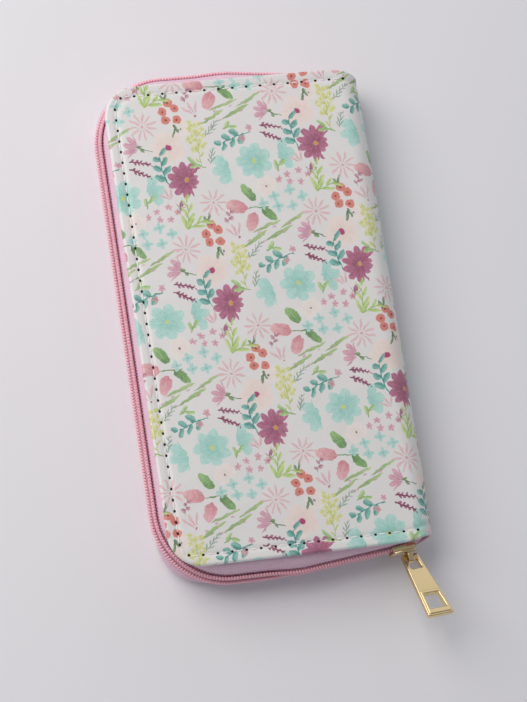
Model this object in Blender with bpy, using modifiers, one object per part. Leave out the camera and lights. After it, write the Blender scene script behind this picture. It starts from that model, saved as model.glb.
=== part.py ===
"""Zip-around wallet, lying closed on its back cover. Metres, +Z up.

X runs across the wallet, from the zipped side (-X) to the spine (+X). Y runs along it, and the zip's
slider is at the -Y end. Z is its thickness. The origin is the middle of the back cover's outer face.
The front half mirrors the back half about the plane z = MID_Z.
"""

from math import atan, cos, pi, radians, sin, sqrt

import bmesh
import bpy
from mathutils import Matrix, Vector

MM = 0.001
GAP = 0.3 * MM  # between pieces that touch

# The closed wallet
LENGTH = 190 * MM
WIDTH = 103 * MM
THICKNESS = 21.6 * MM
HALF_L = LENGTH / 2
HALF_W = WIDTH / 2
MID_Z = THICKNESS / 2

# Layers of one cover, from the outside in
SKIN = 1.2 * MM
BOARD = 1.0 * MM
LINING = 0.5 * MM
POCKET = 0.4 * MM
BOARD_Z = SKIN + GAP
LINING_Z = BOARD_Z + BOARD + GAP
POCKET_Z = LINING_Z + LINING + GAP

COVER_CORNER_R = 13 * MM
SPINE_R = 8.2 * MM  # outer radius where a cover turns into the spine
FOLD_X = HALF_W - SPINE_R  # the flat part of a cover ends here
BOARD_INSET = 5.5 * MM
BOARD_CORNER_R = 8 * MM
LINING_INSET = 5.8 * MM
LINING_CORNER_R = 18 * MM

# Card pockets: stepped strips, each long enough for two cards side by side
POCKET_COUNT = 4
POCKET_HALF_L = 87.5 * MM
POCKET_START_X = -41 * MM
POCKET_STEP = 13 * MM
POCKET_END_X = 42.5 * MM

# The main zip: both tapes run round three sides
TAPE = 0.5 * MM
SEWN_INSET = 5 * MM
SEWN_Z = THICKNESS - 2.1 * MM
SEWN_R = COVER_CORNER_R - SEWN_INSET
BULGE_ENDS = 3.8 * MM  # how far the zip stands out past the covers at the two ends
BULGE_SIDE = 0.4 * MM  # and along the long side
ZIP_CORNER_R = 26 * MM
ZIP_SLOPE = 0.115  # past X = 0 the zip draws in towards the spine, by this much a millimetre
TEETH_GAP = 0.45 * MM  # half the space between the two rows
TEETH_Z = 2.8 * MM  # outer edge of a row, from the middle
TEETH_BASE, TEETH_TOP = 0.3 * MM, 1.9 * MM
TAPE_SET_IN = 0.35 * MM
TAPE_END_X = 28 * MM  # the tapes that move with the covers end here, where the sewn ends start
ZIP_END_X = 47 * MM
ZIP_END_TEETH_X = 40.5 * MM
ZIP_END_LIFT = 1.3 * MM  # the sewn edge rises this much where the covers turn into the spine

# The middle divider: a coin pocket with its own small zip
DIVIDER_HALF_Z = 2.1 * MM
DIVIDER_WALL = 0.5 * MM
DIVIDER_X0, DIVIDER_X1 = -42.9 * MM, 49.1 * MM
DIVIDER_HALF_L = 87 * MM
COIN_TAPE_X = -43.3 * MM
COIN_ZIP_HALF_L = 84 * MM
COIN_SLIDER_Y = -74 * MM

# The end gussets fold inwards between the divider and the card pockets
GUSSET = 0.4 * MM
GUSSET_X0, GUSSET_X1 = -38 * MM, 43 * MM

# The main slider and its puller
SLIDER_X = 39.5 * MM
SLIDER_LENGTH = 9.6 * MM
SLIDER_HALF_W = 4.6 * MM
ARCH_X = 2.2 * MM  # the arch that holds the puller, from the slider's middle
ARCH_HALF_L = 1.0 * MM
ARCH_HALF_W = 2.6 * MM
ARCH_THICK = 0.9 * MM
ARCH_TOP = 7.5 * MM
PIVOT_OUT = 5.0 * MM
PULLER_LENGTH = 28.4 * MM
PULLER_THICK = 1.8 * MM
PULLER_BAR = 1.6 * MM
PULLER_WINDOWS = ((0.8, 5.9, 2.2, 2.7), (17.5, 24.9, 3.5, 4.1))  # near, far, half widths, mm
PULLER_YAW, PULLER_PITCH, PULLER_ROLL = radians(13.2), radians(20.7), radians(-19)

PARTS = "zip_around_wallet"
HELPERS = "cutters"


# ---------------------------------------------------------------- scene and materials
def clear_scene():
    for old in list(bpy.data.objects):
        bpy.data.objects.remove(old, do_unlink=True)
    for name in (PARTS, HELPERS):
        made = bpy.data.collections.new(name)
        bpy.context.scene.collection.children.link(made)


def material(name, colour, roughness, metallic=0.0):
    made = bpy.data.materials.new(name)
    made.use_nodes = True
    shader = made.node_tree.nodes["Principled BSDF"]
    shader.inputs["Base Color"].default_value = (*colour, 1)
    shader.inputs["Roughness"].default_value = roughness
    shader.inputs["Metallic"].default_value = metallic
    return made


def add(name, data, finish, collection=PARTS):
    made = bpy.data.objects.new(name, data)
    if finish:
        data.materials.append(finish)
    bpy.data.collections[collection].objects.link(made)
    return made


# ---------------------------------------------------------------- shape helpers
def box(name, low, high, finish, collection=PARTS, place=None):
    bm = bmesh.new()
    bmesh.ops.create_cube(bm, size=1)
    size = Vector(high) - Vector(low)
    middle = (Vector(high) + Vector(low)) / 2
    bmesh.ops.transform(bm, matrix=Matrix.Diagonal((*size, 1)), verts=bm.verts)
    mesh = bpy.data.meshes.new(name)
    bm.to_mesh(mesh)
    bm.free()
    made = add(name, mesh, finish, collection)
    made.matrix_world = (place or Matrix()) @ Matrix.Translation(middle)
    return made


def join_boxes(name, boxes, finish, place):
    """One solid from overlapping boxes, each given by its low and high corners in the frame of place."""
    body = box(name, *boxes[0], finish, place=place)
    for number, corners in enumerate(boxes[1:], 1):
        other = box(f"{name}_join_{number}", *corners, None, HELPERS, place)
        boolean(body, other, "UNION")
    return body


def boolean(body, other, operation):
    other.hide_render = True
    other.display_type = "WIRE"
    modifier = body.modifiers.new(operation.title(), "BOOLEAN")
    modifier.operation = operation
    modifier.solver = "EXACT"
    modifier.object = other


def loft(name, rings, finish, thickness=None):
    """Skins a surface through rings of points. An open profile is a sheet that gets its thickness
    from Solidify; with no thickness the rings are closed loops, and the ends are capped."""
    closed = thickness is None
    bm = bmesh.new()
    rows = [[bm.verts.new(point) for point in ring] for ring in rings]
    count = len(rows[0])
    for here, there in zip(rows, rows[1:]):
        for i in range(count if closed else count - 1):
            j = (i + 1) % count
            bm.faces.new((here[i], here[j], there[j], there[i]))
    if closed:
        bm.faces.new(rows[0])
        bm.faces.new(rows[-1])
    bmesh.ops.recalc_face_normals(bm, faces=bm.faces)
    mesh = bpy.data.meshes.new(name)
    bm.to_mesh(mesh)
    bm.free()
    made = add(name, mesh, finish)
    if not closed:
        shell = made.modifiers.new("Thickness", "SOLIDIFY")
        shell.thickness = thickness
        shell.offset = 0
    return made


def outline_plate(name, outlines, thickness, finish):
    """A flat plate from closed outlines in its own XY plane; outlines inside the first are holes."""
    curve = bpy.data.curves.new(name, "CURVE")
    curve.dimensions = "2D"
    curve.fill_mode = "BOTH"
    curve.extrude = thickness / 2
    for points in outlines:
        spline = curve.splines.new("POLY")
        spline.points.add(len(points) - 1)
        spline.use_cyclic_u = True
        for point, (x, y) in zip(spline.points, points):
            point.co = (x, y, 0, 1)
    return add(name, curve, finish)


def mirrored(z, front):
    """A height on the back half, or its mirror on the front half."""
    return THICKNESS - z if front else z


# ---------------------------------------------------------------- covers, boards, linings
def corner_half_length(x, x0, half_l, radius):
    """Half the length at x of a plate whose two corners at x0 are round."""
    run = x - x0
    if run >= radius:
        return half_l
    return half_l - radius + sqrt(radius**2 - (radius - run) ** 2)


def cover(name, front, finish):
    """One cover: a flat panel with round corners on the zip side, turning up into the spine."""
    steps = 7
    rings = []
    for i in range(steps):
        x = -HALF_W + COVER_CORNER_R * (1 - cos(pi / 2 * i / (steps - 1))) + (0.02 * MM if i == 0 else 0)
        y = corner_half_length(x, -HALF_W, HALF_L, COVER_CORNER_R)
        rings.append([(x, -y, mirrored(SKIN / 2, front)), (x, y, mirrored(SKIN / 2, front))])
    middle_r = SPINE_R - SKIN / 2
    for i in range(steps):
        angle = pi / 2 * i / (steps - 1)
        x = FOLD_X + middle_r * sin(angle)
        z = mirrored(SPINE_R - middle_r * cos(angle), front)
        rings.append([(x, -HALF_L, z), (x, HALF_L, z)])
    return loft(name, rings, finish, SKIN)


def rounded_plate(name, inset, radius, x1, z0, thickness, front, finish):
    """A flat sheet inside a cover, with round corners on the zip side."""
    steps = 7
    x0, half_l = -HALF_W + inset, HALF_L - inset
    points = []
    for side, order in ((-1, range(steps)), (1, reversed(range(steps)))):
        for i in order:
            angle = pi / 2 * i / (steps - 1)
            points.append((x0 + radius * (1 - sin(pi / 2 - angle)), side * (half_l - radius + radius * sin(angle))))
        if side == -1:
            points += [(x1, -half_l), (x1, half_l)]
    plate = outline_plate(name, [points], thickness, finish)
    plate.location.z = mirrored(z0 + thickness / 2, front)
    return plate


def covers(front, finishes):
    side = "front" if front else "back"
    cover(f"{side}_cover", front, finishes["print"])
    rounded_plate(
        f"{side}_board", BOARD_INSET, BOARD_CORNER_R, FOLD_X - GAP, BOARD_Z, BOARD, front, finishes["card"]
    )
    rounded_plate(
        f"{side}_lining", LINING_INSET, LINING_CORNER_R, FOLD_X - GAP, LINING_Z, LINING, front, finishes["lining"]
    )
    for i in range(POCKET_COUNT):
        z = POCKET_Z + i * (POCKET + GAP)
        low, high = sorted((mirrored(z, front), mirrored(z + POCKET, front)))
        box(
            f"{side}_card_pocket_{i + 1}",
            (POCKET_START_X + i * POCKET_STEP, -POCKET_HALF_L, low),
            (POCKET_END_X, POCKET_HALF_L, high),
            finishes["pocket"],
        )


# ---------------------------------------------------------------- the main zip
def drawn_in(out, x):
    """How far the zip stands out past the covers at x, on the two ends."""
    return out - ZIP_SLOPE * max(x, 0)


def zip_line(out_ends, out_side, radius, slope):
    """Points and outward normals round the three zipped sides, out_ends past the covers at the two
    ends and out_side past them on the long side, from the slider's end to the far end."""
    arc_steps = 9
    y = HALF_L + out_ends
    x = -HALF_W - out_side
    end_y = y - slope * TAPE_END_X
    line = [((TAPE_END_X, -end_y), (0, -1)), ((0, -y), (0, -1))]
    for end in (-1, 1):
        centre = (x + radius, end * (y - radius))
        turns = range(arc_steps) if end == -1 else reversed(range(arc_steps))
        for i in turns:
            angle = pi / 2 * i / (arc_steps - 1)
            normal = (-sin(angle), end * cos(angle))
            line.append(((centre[0] + radius * normal[0], centre[1] + radius * normal[1]), normal))
    return line + [((0, y), (0, 1)), ((TAPE_END_X, end_y), (0, 1))]


def tape_profile(sewn, teeth, normal, front, lift=0):
    """The tape from its sewn edge under the cover, round to the edge that holds the teeth."""
    steps = 6
    sewn_z = THICKNESS - SEWN_Z + lift
    rise = MID_Z - TEETH_Z - 0.3 * MM - sewn_z
    base = (teeth[0] - TAPE_SET_IN * normal[0], teeth[1] - TAPE_SET_IN * normal[1])
    ring = []
    for i in range(steps):
        angle = pi / 2 * i / (steps - 1)
        x = sewn[0] + (base[0] - sewn[0]) * sin(angle)
        y = sewn[1] + (base[1] - sewn[1]) * sin(angle)
        ring.append((x, y, mirrored(sewn_z + rise * (1 - cos(angle)), front)))
    ring.append((*base, mirrored(MID_Z - TEETH_GAP, front)))
    return ring


def zip_half(front, finishes):
    side = "front" if front else "back"
    sewn = zip_line(-SEWN_INSET, -SEWN_INSET, SEWN_R, 0)
    teeth = zip_line(BULGE_ENDS, BULGE_SIDE, ZIP_CORNER_R, ZIP_SLOPE)
    rings = [tape_profile(s[0], t[0], t[1], front) for s, t in zip(sewn, teeth)]
    loft(f"{side}_zip_tape", rings, finishes["tape"], TAPE)
    loft(
        f"{side}_zip_teeth",
        [teeth_ring(point, normal, front) for point, normal in teeth],
        finishes["teeth"],
    )


def teeth_ring(point, normal, front):
    """A row of teeth in section: a flat oval lying on the tape."""
    steps = 10
    out_r, z_r = (TEETH_TOP - TEETH_BASE) / 2, (TEETH_Z - TEETH_GAP) / 2
    out_c, z_c = (TEETH_TOP + TEETH_BASE) / 2, MID_Z - (TEETH_Z + TEETH_GAP) / 2
    ring = []
    for i in range(steps):
        angle = 2 * pi * (i + 0.5) / steps
        out = out_c + out_r * cos(angle)
        z = mirrored(z_c + z_r * sin(angle), front)
        ring.append((point[0] + out * normal[0], point[1] + out * normal[1], z))
    return ring


def slope_frame(x, end):
    """A frame on the zip's drawn-in stretch at x: its X runs along the teeth towards the spine, and
    its -Y points out of the wallet at the slider's end. At the far end it is turned, not mirrored."""
    place = Matrix.Translation((x, end * (HALF_L + drawn_in(BULGE_ENDS, x)), MID_Z))
    return place @ Matrix.Rotation(-end * atan(ZIP_SLOPE), 4, "Z")


def zip_end(name, end, finishes):
    """The last stretch of both tapes, sewn shut at the spine; end is -1 at the slider, 1 at the far end."""
    start = TAPE_END_X + GAP
    sewn_y = end * (HALF_L - SEWN_INSET)
    rings = []
    for x, lift in ((start, 0), (FOLD_X, 0), (ZIP_END_X, ZIP_END_LIFT)):
        teeth_y = end * (HALF_L + drawn_in(BULGE_ENDS, x))
        halves = [tape_profile((x, sewn_y), (x, teeth_y), (0, end), front, lift) for front in (False, True)]
        rings.append(halves[0] + halves[1][::-1])
    body = loft(name, rings, finishes["tape"], TAPE)
    place = slope_frame(start, end)
    slot_end = ZIP_END_X - start - 2.4 * MM
    slot = ((-2 * MM, -2 * MM, -TEETH_GAP), (slot_end, 2 * MM, TEETH_GAP))
    boolean(body, box(f"{name}_slot", *slot, None, HELPERS, place), "DIFFERENCE")
    low_y, high_y = sorted((-end * TAPE_SET_IN, end * TEETH_TOP))
    for side, sign in (("back", -1), ("front", 1)):
        low_z, high_z = sorted((sign * (TEETH_GAP + 0.05 * MM), sign * TEETH_Z))
        row = ((0.15 * MM, low_y, low_z), (ZIP_END_TEETH_X - start, high_y, high_z))
        boolean(body, box(f"{name}_{side}_teeth", *row, None, HELPERS, place), "UNION")
    return body


# ---------------------------------------------------------------- slider and puller
def slider(finish):
    """Two plates joined by a thin web between the rows of teeth, with an arch for the puller. Slabs
    are given in the zip's own frame: along it, outwards from the tapes, and across both rows."""
    half_l, w = SLIDER_LENGTH / 2, SLIDER_HALF_W
    outer, plate, web, over = 2.4 * MM, 1.0 * MM, 0.17 * MM, 0.1 * MM
    inner, inner_w = -1.1 * MM, w - 0.3 * MM
    flange, flange_out = 1.2 * MM, 0.35 * MM

    def slab(xa, xb, out_a, out_b, za, zb):
        return ((xa, -out_b, za), (xb, -out_a, zb))

    arch = [
        slab(ARCH_X - ARCH_HALF_L, ARCH_X + ARCH_HALF_L, outer + plate - over, ARCH_TOP, za, za + ARCH_THICK)
        for za in (-ARCH_HALF_W, ARCH_HALF_W - ARCH_THICK)
    ]
    shapes = [
        slab(-half_l, half_l, outer, outer + plate, -w, w),
        slab(-half_l, half_l, flange_out, outer + over, w - flange, w),
        slab(-half_l, half_l, flange_out, outer + over, -w, -w + flange),
        slab(-half_l + 0.4 * MM, half_l - 0.4 * MM, inner - plate, inner, -inner_w, inner_w),
        slab(half_l - 2.6 * MM, half_l - 0.6 * MM, inner - over, outer + over, -web, web),
        *arch,
        slab(
            ARCH_X - ARCH_HALF_L,
            ARCH_X + ARCH_HALF_L,
            ARCH_TOP - ARCH_THICK,
            ARCH_TOP,
            -ARCH_HALF_W + over,
            ARCH_HALF_W - over,
        ),
    ]
    return join_boxes("slider_body", shapes, finish, slope_frame(SLIDER_X, -1))


def trapezium(near, far, half_near, half_far):
    """Outline of a plate or window that widens along +Y."""
    return [(-half_near, near), (half_near, near), (half_far, far), (-half_far, far)]


def puller(finish):
    """A tapered plate with two windows. Its bar under the arch is at its own origin."""
    bar = PULLER_BAR / 2
    outlines = [trapezium(-bar, PULLER_LENGTH - bar, 3.6 * MM, 5.8 * MM)]
    outlines += [trapezium(*(size * MM for size in window)) for window in PULLER_WINDOWS]
    plate = outline_plate("puller", outlines, PULLER_THICK, finish)
    level = Vector((cos(PULLER_YAW), sin(PULLER_YAW), 0))
    out = Vector((sin(PULLER_YAW), -cos(PULLER_YAW), 0))
    along = out * cos(PULLER_PITCH) + Vector((0, 0, sin(PULLER_PITCH)))
    up = along.cross(level)
    across = level * cos(PULLER_ROLL) + up * sin(PULLER_ROLL)
    frame = Matrix((across, along, across.cross(along))).transposed().to_4x4()
    pivot = slope_frame(SLIDER_X, -1) @ Vector((ARCH_X, -PIVOT_OUT, 0))
    plate.matrix_world = Matrix.Translation(pivot) @ frame
    return plate


# ---------------------------------------------------------------- the spine, the divider and the gussets
def spine(finishes):
    z0, z1 = SPINE_R + GAP, THICKNESS - SPINE_R - GAP
    box("spine_cover", (HALF_W - SKIN, -HALF_L, z0), (HALF_W, HALF_L, z1), finishes["print"])
    inner = HALF_W - SKIN - GAP
    half_l = HALF_L - LINING_INSET
    box("spine_lining", (inner - LINING, -half_l, z0), (inner, half_l, z1), finishes["lining"])


def divider(finishes):
    """The coin pocket: two walls, two end bindings and a small zip along its mouth."""
    z, wall = DIVIDER_HALF_Z, DIVIDER_WALL
    for side, z0 in (("back", MID_Z - z), ("front", MID_Z + z - wall)):
        box(
            f"coin_pocket_{side}_wall",
            (DIVIDER_X0, -DIVIDER_HALF_L, z0),
            (DIVIDER_X1, DIVIDER_HALF_L, z0 + wall),
            finishes["lining"],
        )
    for name, end in (("near", -1), ("far", 1)):
        low, high = sorted((end * (DIVIDER_HALF_L + GAP), end * (DIVIDER_HALF_L + GAP + wall)))
        box(
            f"coin_pocket_{name}_binding",
            (DIVIDER_X0, low, MID_Z - z),
            (GUSSET_X1, high, MID_Z + z),
            finishes["lining"],
        )
    for side, sign in (("back", -1), ("front", 1)):
        low, high = sorted((MID_Z + sign * 0.4 * MM, MID_Z + sign * 2.6 * MM))
        box(
            f"coin_zip_{side}_tape",
            (COIN_TAPE_X - 0.2 * MM, -COIN_ZIP_HALF_L, low),
            (COIN_TAPE_X + 0.1 * MM, COIN_ZIP_HALF_L, high),
            finishes["tape"],
        )
        low, high = sorted((MID_Z + sign * 0.4 * MM, MID_Z + sign * 1.7 * MM))
        box(
            f"coin_zip_{side}_teeth",
            (COIN_TAPE_X - 1.7 * MM, -COIN_ZIP_HALF_L, low),
            (COIN_TAPE_X - 0.5 * MM, COIN_ZIP_HALF_L, high),
            finishes["teeth"],
        )


def coin_slider(finish):
    x, y, z = COIN_TAPE_X, COIN_SLIDER_Y, MID_Z
    half_l, half_w, over = 4 * MM, 3.3 * MM, 0.1 * MM

    def slab(out_a, out_b, ya, yb, zh):
        return ((x - out_b, y + ya, z - zh), (x - out_a, y + yb, z + zh))

    shapes = [
        slab(2.0 * MM, 2.7 * MM, -half_l, half_l, half_w),
        slab(-1.0 * MM, -0.4 * MM, -half_l + 0.4 * MM, half_l - 0.4 * MM, 1.3 * MM),
        slab(-0.4 * MM - over, 2.0 * MM + over, -half_l + 0.6 * MM, -half_l + 2 * MM, 0.15 * MM),
        slab(2.7 * MM - over, 5.3 * MM, -2.9 * MM, -2.1 * MM, 0.8 * MM),
        slab(2.7 * MM - over, 5.3 * MM, 2.1 * MM, 2.9 * MM, 0.8 * MM),
        slab(4.7 * MM, 5.3 * MM, -2.2 * MM, 2.2 * MM, 0.8 * MM),
    ]
    return join_boxes("coin_slider_body", shapes, finish, Matrix())


def coin_puller(finish):
    """A small plate, stored flat along the coin pocket's mouth."""
    outlines = [
        trapezium(-0.6 * MM, 14 * MM, 2.3 * MM, 2.6 * MM),
        trapezium(0.5 * MM, 5.5 * MM, 1.3 * MM, 1.4 * MM),
    ]
    plate = outline_plate("coin_puller", outlines, 0.9 * MM, finish)
    across, along, normal = Vector((0, 0, 1)), Vector((0, 1, 0)), Vector((-1, 0, 0))
    frame = Matrix((across, along, normal)).transposed().to_4x4()
    plate.matrix_world = Matrix.Translation((COIN_TAPE_X - 3.7 * MM, COIN_SLIDER_Y, MID_Z)) @ frame
    return plate


def gusset(name, end, front, finish):
    """Half of an end gusset, from a lining to the divider, with its pleat folded inwards."""
    fold = [(90.4, 3.75), (89.2, 6.5), (80, 7.0), (79, 7.4), (80, 7.8), (88.6, 8.2), (88.6, 10.4)]
    rings = [[(x, end * y * MM, mirrored(z * MM, front)) for y, z in fold] for x in (GUSSET_X0, GUSSET_X1)]
    return loft(name, rings, finish, GUSSET)


def gussets(finishes):
    for where, end in (("near", -1), ("far", 1)):
        for side, front in (("back", False), ("front", True)):
            gusset(f"{where}_{side}_gusset", end, front, finishes["lining"])


# ---------------------------------------------------------------- the whole wallet
def main():
    clear_scene()
    finishes = {
        "print": material("printed_coated_fabric", (0.86, 0.84, 0.84), 0.42),
        "card": material("grey_board", (0.55, 0.50, 0.43), 0.9),
        "lining": material("pink_lining", (0.83, 0.50, 0.60), 0.75),
        "pocket": material("pink_coated_pocket", (0.86, 0.55, 0.65), 0.5),
        "tape": material("pink_woven_tape", (0.80, 0.52, 0.64), 0.85),
        "teeth": material("pink_nylon_teeth", (0.84, 0.42, 0.50), 0.45),
        "gold": material("gold_plated_zinc", (0.83, 0.64, 0.34), 0.2, 1.0),
    }
    for front in (False, True):
        covers(front, finishes)
        zip_half(front, finishes)
    spine(finishes)
    zip_end("near_zip_end", -1, finishes)
    zip_end("far_zip_end", 1, finishes)
    divider(finishes)
    gussets(finishes)
    slider(finishes["gold"])
    puller(finishes["gold"])
    coin_slider(finishes["gold"])
    coin_puller(finishes["gold"])


main()
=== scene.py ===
from functools import partial
from math import atan, copysign, cos, exp, hypot, pi, radians, sin, sqrt, tan

import bmesh
import bpy
from mathutils import Matrix, Vector


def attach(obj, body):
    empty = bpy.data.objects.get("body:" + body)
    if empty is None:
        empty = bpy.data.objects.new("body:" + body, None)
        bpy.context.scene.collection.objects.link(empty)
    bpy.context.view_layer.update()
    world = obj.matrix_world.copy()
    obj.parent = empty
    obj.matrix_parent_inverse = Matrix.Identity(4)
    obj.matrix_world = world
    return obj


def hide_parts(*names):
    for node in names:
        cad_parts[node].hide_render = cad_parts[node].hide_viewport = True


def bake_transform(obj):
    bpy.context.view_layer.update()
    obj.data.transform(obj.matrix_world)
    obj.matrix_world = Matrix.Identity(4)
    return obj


# A zip-around wallet, closed and lying on its back cover. X runs across it to the spine, Y along it.
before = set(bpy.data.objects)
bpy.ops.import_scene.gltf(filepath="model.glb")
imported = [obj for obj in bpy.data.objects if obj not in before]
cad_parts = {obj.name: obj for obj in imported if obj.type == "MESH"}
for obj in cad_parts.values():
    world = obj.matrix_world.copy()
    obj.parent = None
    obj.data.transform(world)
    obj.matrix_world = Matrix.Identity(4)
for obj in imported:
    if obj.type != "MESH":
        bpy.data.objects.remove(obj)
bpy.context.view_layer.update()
scene = bpy.context.scene
print("frame loaded,", len(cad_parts), "CAD nodes")


def linear(hexColour):
    channels = [int(hexColour[i : i + 2], 16) / 255 for i in (1, 3, 5)]
    return [c / 12.92 if c <= 0.04045 else ((c + 0.055) / 1.055) ** 2.4 for c in channels] + [1.0]


def addNode(tree, kind, *values, **settings):
    # "Math.ADD" is a Math node set to add; a value is a number, a colour, another node or a socket
    name, _, operation = kind.partition(".")
    known = name.startswith(("Geometry", "Function", "Node", "ShaderNode"))
    node = tree.nodes.new(name if known else "ShaderNode" + name)
    if operation:
        settings["operation"] = operation
    named = settings.pop("named", {})
    for key, value in settings.items():
        setattr(node, key, value)
    for key, value in [*enumerate(values), *named.items()]:
        if value is None:
            continue
        if isinstance(value, bpy.types.Node):
            value = next(o for o in value.outputs if o.enabled)
        if isinstance(value, bpy.types.NodeSocket):
            tree.links.new(value, node.inputs[key])
        elif isinstance(value, str) and value.startswith("#"):
            node.inputs[key].default_value = linear(value)
        else:
            node.inputs[key].default_value = value
    return node


def newGroup(name, inputs, outputs, kind="ShaderNodeTree"):
    # inputs and outputs are {name: socket type}, or {name: default} for a plain number
    tree = bpy.data.node_groups.new(name, kind)
    for where, sockets in (("INPUT", inputs), ("OUTPUT", outputs)):
        for label, given in sockets.items():
            socketType = given if isinstance(given, str) else "Float"
            socket = tree.interface.new_socket(label, in_out=where, socket_type="NodeSocket" + socketType)
            if given != socketType:
                socket.default_value = given
    given, out = tree.nodes.new("NodeGroupInput").outputs, tree.nodes.new("NodeGroupOutput").inputs
    return tree, partial(addNode, tree), given, out  # n, the second, adds a node to this tree


def newMaterial(name):
    made = bpy.data.materials.new(name)
    made.use_nodes = True
    tree = made.node_tree
    return made, tree, tree.nodes["Principled BSDF"], partial(addNode, tree)


# the print: small motifs on a repeat that is turned on the cloth
printing = {
    "repeatAcross": 54.0,  # mm
    "repeatAlong": 51.3,
    "turn": -11.0,  # degrees
    "wobble": 0.55,  # how far the brush strays, mm
}


def makePlaceGroup():
    tree, n, given, out = newGroup("motifPlace", {"Cloth": "Vector", "Centre": "Vector"}, {"Spot": "Vector"})
    halfA, halfB = printing["repeatAcross"] / 2, printing["repeatAlong"] / 2
    away = n("VectorMath.SUBTRACT", given["Cloth"], given["Centre"])
    nearest = n("VectorMath.WRAP", away, (halfA, halfB, 1), (-halfA, -halfB, -1))
    tree.links.new(nearest.outputs[0], out["Spot"])
    return tree


def makeScatterGroup():
    # small things strewn over an oval patch, each whole
    tree, n, given, out = newGroup(
        "motifScatter",
        {"Spot": "Vector", "Cell": 3.0, "Reach": "Vector", "Girth": "Vector", "Loose": 0.5},
        {"Spot": "Vector", "Cover": 0.0},
    )
    scale = n("Math.DIVIDE", 1.0, given["Cell"])
    scaled = n("VectorMath.SCALE", given["Spot"], named={"Scale": scale})
    strewing = {"Vector": scaled, "Scale": 1.0, "Randomness": given["Loose"]}
    cells = n("TexVoronoi", voronoi_dimensions="2D", named=strewing)
    middle = n("VectorMath.SCALE", cells.outputs["Position"], named={"Scale": given["Cell"]})
    local = n("VectorMath.SUBTRACT", given["Spot"], middle)
    sides = [n("VectorMath.DOT_PRODUCT", middle, given[way]) for way in ("Reach", "Girth")]
    squares = [n("Math.MULTIPLY", side, side) for side in sides]
    cover = n("Math.LESS_THAN", n("Math.ADD", *squares), 1.0)
    tree.links.new(local.outputs[0], out["Spot"])
    tree.links.new(cover.outputs[0], out["Cover"])
    return tree


# nothing in these groups is clamped: a mix clamps its own factor, and with clamp nodes the print
# would need more room than a material has
def makePetalGroup():
    # a ring of petals, or part of one, with a heart and a dot in its middle
    tree, n, given, out = newGroup(
        "motifPetals",
        {
            "Under": "Color", "Spot": "Vector", "Along": "Vector", "Aside": "Vector", "Tone": 0.5,
            "Cover": 1.0, "Count": 5.0, "Length": 5.0, "Half width": 1.0, "Start": 0.4,
            "Spread": 4.0, "Fullness": 1.6, "Inner": "Color", "Outer": "Color", "Strength": 0.9,
            "Heart": 0.0, "Heart colour": "Color", "Dot": 0.0, "Dot colour": "Color",
        },
        {"Colour": "Color"},
    )

    x, y = (n("VectorMath.DOT_PRODUCT", given["Spot"], given[way]) for way in ("Along", "Aside"))
    far = n("VectorMath.LENGTH", given["Spot"])
    angle = n("Math.ARCTAN2", y, x)
    half = n("Math.DIVIDE", pi, given["Count"])
    off = n("Math.WRAP", angle, half, n("Math.MULTIPLY", half, -1.0))
    aside = n("Math.ABSOLUTE", n("Math.MULTIPLY", off, far))
    room = n("Math.SUBTRACT", given["Length"], given["Start"])
    along = n("Math.DIVIDE", n("Math.SUBTRACT", far, given["Start"]), room)
    full = n("Math.POWER", along, given["Fullness"])
    arc = n("Math.MULTIPLY", full, n("Math.SUBTRACT", 1.0, full))
    width = n("Math.MULTIPLY", n("Math.SQRT", arc), n("Math.MULTIPLY", given["Half width"], 2.0))
    petal = n("Math.MINIMUM", n("Math.MULTIPLY_ADD", n("Math.SUBTRACT", width, aside), 3.5, -0.1), 1.0)
    facing = n("Math.LESS_THAN", n("Math.ABSOLUTE", angle), given["Spread"])
    vein = n("Math.MULTIPLY", n("Math.SINE", n("Math.MULTIPLY", aside, 7.0)), 0.16)
    shade = n("Math.ADD", n("Math.ADD", along, vein), n("Math.SUBTRACT", given["Tone"], 0.5))
    colour = n("MixRGB", shade, given["Inner"], given["Outer"])
    cover = n("Math.MULTIPLY", n("Math.MULTIPLY", facing, given["Cover"]), given["Strength"])
    laid = n("MixRGB", n("Math.MULTIPLY", petal, cover), given["Under"], colour)
    for size, finish in ((given["Heart"], given["Heart colour"]), (given["Dot"], given["Dot colour"])):
        edge = n("Math.MULTIPLY", n("Math.SUBTRACT", size, far), 2.9)
        laid = n("MixRGB", n("Math.MULTIPLY", edge, given["Cover"]), laid, finish)
    tree.links.new(laid.outputs[0], out["Colour"])
    return tree


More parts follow.
